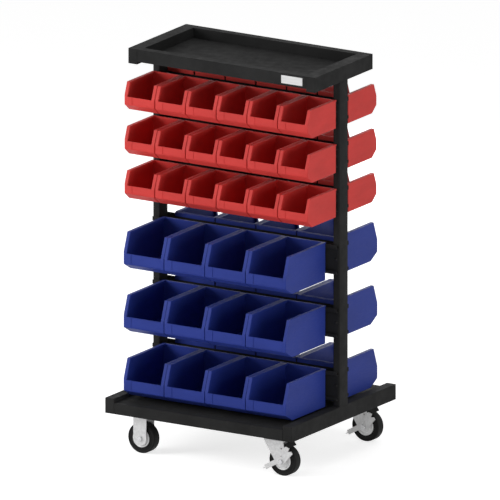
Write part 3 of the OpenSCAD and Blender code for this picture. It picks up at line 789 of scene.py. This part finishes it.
def fold_tray(sizes):
    """The top tray, folded from a flat sheet: recessed well, rim, front and back apron."""
    low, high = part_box("top_tray")
    tray = flat_sheet("top_tray_sheet", (0.0, 0.0, high[2]), high[0] - low[0], high[1] - low[1])
    inner_x = high[0] - sizes.end_w
    well_x, well_y = inner_x - sizes.top_flange, high[1] - sizes.top_rim
    for axis, at in ((X_AXIS, well_x), (Y_AXIS, well_y), (X_AXIS, inner_x)):
        for side in SIDES:
            divide(tray, axis * side * at, axis)
    pick_faces(tray, lambda centre, normal: abs(centre.x) < well_x and abs(centre.y) < well_y)
    extrude(z=-sizes.top_recess)
    done()
    for edge_y in (low[1], high[1]):
        pick_edges(tray, lambda a, b: abs(a.y - edge_y) < NEAR and abs(b.y - edge_y) < NEAR
                   and abs(a.x + b.x) / 2 < inner_x)
        extrude(z=low[2] - high[2])
        done()
    round_edges(tray, lambda a, b: upright_corner(a, b) and abs(a.x) < well_x + NEAR
                and abs(a.y) < well_y + NEAR, sizes.end_round, CORNER_STEPS)
    pick_points(tray, lambda at: abs(at.x) > high[0] - NEAR and abs(at.y) > high[1] - NEAR)
    bpy.ops.mesh.bevel(offset=sizes.end_round, segments=CORNER_STEPS, affect="VERTICES")
    done()
    outward(tray)
    if min(tray.data.polygons, key=lambda face: face.center.z).normal.z < 0:
        pick_all(tray)
        bpy.ops.mesh.flip_normals()
        done()
    thicken(tray, sizes.sheet, FOLDED_EDGE)
    return tray


class RACK_OT_top(bpy.types.Operator):
    """Folds the top tray and its two end channels"""
    bl_idname = "rack.top"
    bl_label = "Top"

    def execute(self, context):
        sizes = context.scene.rack_frame
        coat(fold_tray(sizes), "top_tray")
        fold_end_channels("top", 1, sizes)
        return {"FINISHED"}


class RACK_OT_posts(bpy.types.Operator):
    """Sets up the two posts"""
    bl_idname = "rack.posts"
    bl_label = "Posts"

    def execute(self, context):
        for word in ENDS:
            node = f"post_{word}"
            post = block(f"{node}_tube", *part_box(node))
            round_edges(post, upright_corner, context.scene.rack_frame.post_round, CORNER_STEPS)
            shade(post, SMOOTH_ON_POST)
            coat(post, node)
        return {"FINISHED"}


def fold_rail(sizes, low, high, height):
    """One rail, folded from a strip: foot lip, foot, web, shelf and hanging lip."""
    half = sizes.sheet / 2
    lip_y, web_y = low[1] + half, high[1] - half
    foot_z = low[2] + half
    shelf_z = low[2] + height - sizes.rail_lip_h + half
    centre = ((low[0] + high[0]) / 2, lip_y, low[2] + sizes.rail_foot_h / 2)
    rail = flat_sheet("rail", centre, high[0] - low[0], sizes.rail_foot_h, QUARTER_TURN)
    pick_edges(rail, lambda a, b: max(a.z, b.z) < low[2] + NEAR)
    bpy.ops.transform.translate(value=(0.0, 0.0, half))
    extrude(y=web_y - lip_y)
    extrude(z=shelf_z - foot_z)
    extrude(y=lip_y - web_y)
    extrude(z=sizes.rail_lip_h - half)
    done()
    round_edges(rail, lambda a, b: along_x(a, b)
                and (abs(a.z - foot_z) < NEAR or abs(a.z - shelf_z) < NEAR), sizes.fold)
    thicken(rail, sizes.sheet, RAIL_EDGE, offset=0.0, angle=SHARP_ON_RAIL)
    return rail


class RACK_OT_rails(bpy.types.Operator):
    """Folds the rails that carry the bins"""
    bl_idname = "rack.rails"
    bl_label = "Rails"

    def execute(self, context):
        for kind in ("red", "blue"):
            low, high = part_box(f"front_{kind}_rails")
            tops = [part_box(f"front_{kind}_bin_{row}")[1][2] for row in ROWS]
            pitch = tops[0] - tops[1]
            height = high[2] - low[2] - (len(ROWS) - 1) * pitch
            model = fold_rail(context.scene.rack_frame, low, high, height)
            for row in ROWS:
                lift = Matrix.Translation((0.0, 0.0, (len(ROWS) - row) * pitch))
                for side, turn in (("front", AS_MADE), ("rear", TURNED)):
                    rail = duplicate(model, f"{side}_{kind}_rail_{row}", turn @ lift)
                    coat(rail, f"{side}_{kind}_rails")
            bpy.data.objects.remove(model, do_unlink=True)
        return {"FINISHED"}


class RACK_OT_small_bins(bpy.types.Operator):
    """Moulds the small bins and hangs them"""
    bl_idname = "rack.small_bins"
    bl_label = "Small bins"

    def execute(self, context):
        hang_bins("red", context.scene.rack_small_bin)
        return {"FINISHED"}


class RACK_OT_large_bins(bpy.types.Operator):
    """Moulds the large bins and hangs them"""
    bl_idname = "rack.large_bins"
    bl_label = "Large bins"

    def execute(self, context):
        hang_bins("blue", context.scene.rack_large_bin)
        return {"FINISHED"}


def off_axle(at, centre):
    """Distance of a point from an axle along Y through a centre."""
    return Vector((at.x - centre.x, 0.0, at.z - centre.z)).length


def pick_caps(piece, centre, radius=NEAR):
    """Opens a wheel piece in edit mode with its end faces selected, within a radius."""
    pick_faces(piece, lambda at, normal: abs(normal.y) > FACING and off_axle(at, centre) < radius)


def inset_caps(rings):
    """Insets the selected end faces and pushes them, once for each (inset, push) pair."""
    for inset, push in rings:
        bpy.ops.mesh.inset(thickness=inset, use_individual=True)
        if push:
            bpy.ops.transform.shrink_fatten(value=push)
    done()


def bore_through(piece, centre, radius):
    """Opens the hole between the two end faces of a wheel piece."""
    pick_caps(piece, centre, radius)
    bpy.ops.mesh.delete(type="FACE")
    done()
    pick_edges(piece, lambda a, b: off_axle(a, centre) < radius and off_axle(b, centre) < radius
               and abs(a.y - b.y) < NEAR)
    bpy.ops.mesh.bridge_edge_loops()
    done()


def turn_tyre(name, centre, radius, width, hub_r):
    """A tyre with round shoulders, grooved sides and the hole for its hub."""
    sizes = bpy.context.scene.rack_wheels
    tyre = wheel_cylinder(name, centre, radius, width)
    round_edges(tyre, lambda a, b: abs(a.y - b.y) < NEAR, sizes.shoulder, SHOULDER_STEPS)
    pick_caps(tyre, centre)
    side = radius - sizes.shoulder - hub_r
    inset_caps((side * share, push) for share, push in TYRE_RINGS)
    bore_through(tyre, centre, hub_r - sizes.hub_grip)
    outward(tyre)
    shade(tyre, SMOOTH_ON_TYRE)
    return tyre


def turn_hub(name, centre, radius, width, boss_w):
    """A hub with a rim, a dish and a boss on each side."""
    share, floor_push = DISH_FLOOR
    side_inset, side_push = BOSS_SIDE
    hub = wheel_cylinder(name, centre, radius, width)
    pick_caps(hub, centre)
    boss = (boss_w - width) / 2
    inset_caps(((bpy.context.scene.rack_wheels.hub_rim, 0.0), *DISH_WALL,
                (radius * share, floor_push), BOSS_FOOT, (side_inset, side_push + boss)))
    outward(hub)
    soften(hub, HUB_EDGE)
    return hub


class RACK_OT_wheels(bpy.types.Operator):
    """Turns the tyres and hubs"""
    bl_idname = "rack.wheels"
    bl_label = "Wheels"

    def execute(self, context):
        for castor in ("fixed_front", "fixed_rear", "swivel_front", "swivel_rear"):
            low, high = (Vector(corner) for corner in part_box(f"{castor}_tyre"))
            centre = (low + high) / 2
            radius, width = (high.z - low.z) / 2, high.y - low.y
            hub_low, hub_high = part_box(f"{castor}_hub")
            hub_r = (hub_high[2] - hub_low[2]) / 2
            hub_w = width + 2 * context.scene.rack_wheels.hub_proud
            tyre = turn_tyre(f"{castor}_tyre_tread", centre, radius, width, hub_r)
            finish_piece(tyre, f"{castor}_wheel", "tyre_black", f"{castor}_tyre")
            hub = turn_hub(f"{castor}_hub_disc", centre, hub_r, hub_w, hub_high[1] - hub_low[1])
            finish_piece(hub, f"{castor}_wheel", "hub_grey", f"{castor}_hub")
        return {"FINISHED"}


class RACK_OT_hardware(bpy.types.Operator):
    """Rounds the edges of the castor pressings, the fasteners and the label plate"""
    bl_idname = "rack.hardware"
    bl_label = "Castors and fasteners"

    def execute(self, context):
        for slot, radius, nodes in ROUNDED_NODES:
            for node in nodes:
                piece = duplicate(frame["nodes"][node], f"{node}_dressed", AS_MADE)
                outward(piece)
                pick_all(piece)
                bpy.ops.mesh.dissolve_limited(angle_limit=math.radians(FLAT))
                done()
                soften(piece, radius, smooth=SMOOTH_ON_PRESSING)
                finish_piece(piece, body_of(node), slot, node)
        return {"FINISHED"}


def math_node(tree, operation, source, other):
    """What a Math node makes of a source and of another source or a number."""
    made = tree.nodes.new("ShaderNodeMath")
    made.operation = operation
    tree.links.new(source, made.inputs[0])
    if isinstance(other, float):
        made.inputs[1].default_value = other
    else:
        tree.links.new(other, made.inputs[1])
    return made.outputs[0]


def seen_by_camera(tree, strength):
    """A strength that holds for camera, glossy and transmission rays, and is zero for others."""
    path = tree.nodes.new("ShaderNodeLightPath")
    seen = path.outputs["Is Camera Ray"]
    for ray in ("Is Glossy Ray", "Is Transmission Ray"):
        seen = math_node(tree, "MAXIMUM", seen, path.outputs[ray])
    return math_node(tree, "MULTIPLY", seen, strength)


def lay_floor():
    """A pale matt floor, which the camera sees as white under the rack's shadow."""
    clear_selection()
    bpy.ops.mesh.primitive_plane_add(size=FLOOR_SIZE)
    floor = bpy.context.object
    floor.name = "floor"
    paint = bpy.data.materials.new("pale_floor")
    paint.use_nodes = True
    tree = paint.node_tree
    tree.nodes.clear()
    out = tree.nodes.new("ShaderNodeOutputMaterial")
    matt = tree.nodes.new("ShaderNodeBsdfDiffuse")
    matt.inputs["Color"].default_value = (FLOOR_TINT, FLOOR_TINT, FLOOR_TINT, 1.0)
    glow = tree.nodes.new("ShaderNodeEmission")
    both = tree.nodes.new("ShaderNodeAddShader")
    tree.links.new(seen_by_camera(tree, FLOOR_GLOW), glow.inputs["Strength"])
    tree.links.new(matt.outputs[0], both.inputs[0])
    tree.links.new(glow.outputs[0], both.inputs[1])
    tree.links.new(both.outputs[0], out.inputs["Surface"])
    floor.data.materials.append(paint)


def light_world(scene):
    """A soft even sky, which the camera sees as white."""
    world = bpy.data.worlds.new("studio")
    scene.world = world
    world.use_nodes = True
    tree = world.node_tree
    back = tree.nodes["Background"]
    back.inputs["Color"].default_value = (1.0, 1.0, 1.0, 1.0)
    strength = math_node(tree, "ADD", seen_by_camera(tree, 1.0 - SKY), SKY)
    tree.links.new(strength, back.inputs["Strength"])


def add_lamp(name, place, size, power):
    """A square soft lamp that looks at the middle of the rack."""
    light = bpy.data.lights.new(name, "AREA")
    light.size = size
    light.energy = power
    lamp = bpy.data.objects.new(name, light)
    bpy.context.collection.objects.link(lamp)
    middle = (CAD_BOX[0] + CAD_BOX[1]) / 2
    lamp.location = place
    lamp.rotation_euler = (middle - Vector(place)).to_track_quat("-Z", "Y").to_euler()


def aim_camera(scene):
    """A parallel view at the photograph's angle."""
    data = bpy.data.cameras.new("camera")
    camera = bpy.data.objects.new("camera", data)
    bpy.context.collection.objects.link(camera)
    a, e = math.radians(AZIMUTH), math.radians(ELEVATION)
    back = Vector((math.sin(a) * math.cos(e), -math.cos(a) * math.cos(e), math.sin(e)))
    camera.location = TARGET + back * DISTANCE
    camera.rotation_euler = (-back).to_track_quat("-Z", "Y").to_euler()
    data.type = "ORTHO"
    data.ortho_scale = PICTURE_WIDTH
    data.clip_end = CLIP_END
    scene.camera = camera


class RACK_OT_stage(bpy.types.Operator):
    """Sets up the floor, the lights and the camera"""
    bl_idname = "rack.stage"
    bl_label = "Stage"

    def execute(self, context):
        scene = context.scene
        scene.view_settings.view_transform = "Standard"
        lay_floor()
        light_world(scene)
        for lamp in LAMPS:
            add_lamp(*lamp)
        aim_camera(scene)
        return {"FINISHED"}


SETTINGS = {
    "rack_frame": RackFrameSizes,
    "rack_small_bin": RackSmallBin,
    "rack_large_bin": RackLargeBin,
    "rack_moulding": RackMoulding,
    "rack_wheels": RackWheels,
    "rack_finishes": RackFinishes,
}
OPERATORS = (RACK_OT_base, RACK_OT_top, RACK_OT_posts, RACK_OT_rails, RACK_OT_small_bins,
             RACK_OT_large_bins, RACK_OT_wheels, RACK_OT_hardware, RACK_OT_stage)


class RACK_PT_panel(bpy.types.Panel):
    """The rack's sizes, colours and pieces"""
    bl_idname = "RACK_PT_panel"
    bl_label = "Bin rack"
    bl_space_type = "VIEW_3D"
    bl_region_type = "UI"
    bl_category = "Bin rack"

    def draw(self, context):
        """Lists the operators, and below them every size and colour."""
        column = self.layout.column()
        for operator in OPERATORS:
            column.operator(operator.bl_idname)
        for name in SETTINGS:
            group = getattr(context.scene, name)
            column.separator()
            for key in group.__annotations__:
                column.prop(group, key)


CLASSES = (*SETTINGS.values(), *OPERATORS, RACK_PT_panel)


def register():
    """Registers the classes and gives the scene its settings."""
    for item in CLASSES:
        bpy.utils.register_class(item)
    for name, group in SETTINGS.items():
        setattr(bpy.types.Scene, name, PointerProperty(type=group))


def unregister():
    """Takes the settings and the classes away again."""
    for name in SETTINGS:
        delattr(bpy.types.Scene, name)
    for item in reversed(CLASSES):
        bpy.utils.unregister_class(item)


def main():
    register()
    bpy.ops.rack.stage()
    bpy.ops.rack.base()
    bpy.ops.rack.top()
    bpy.ops.rack.posts()
    bpy.ops.rack.rails()
    bpy.ops.rack.small_bins()
    bpy.ops.rack.large_bins()
    bpy.ops.rack.wheels()
    bpy.ops.rack.hardware()


if __name__ == "__main__":
    main()
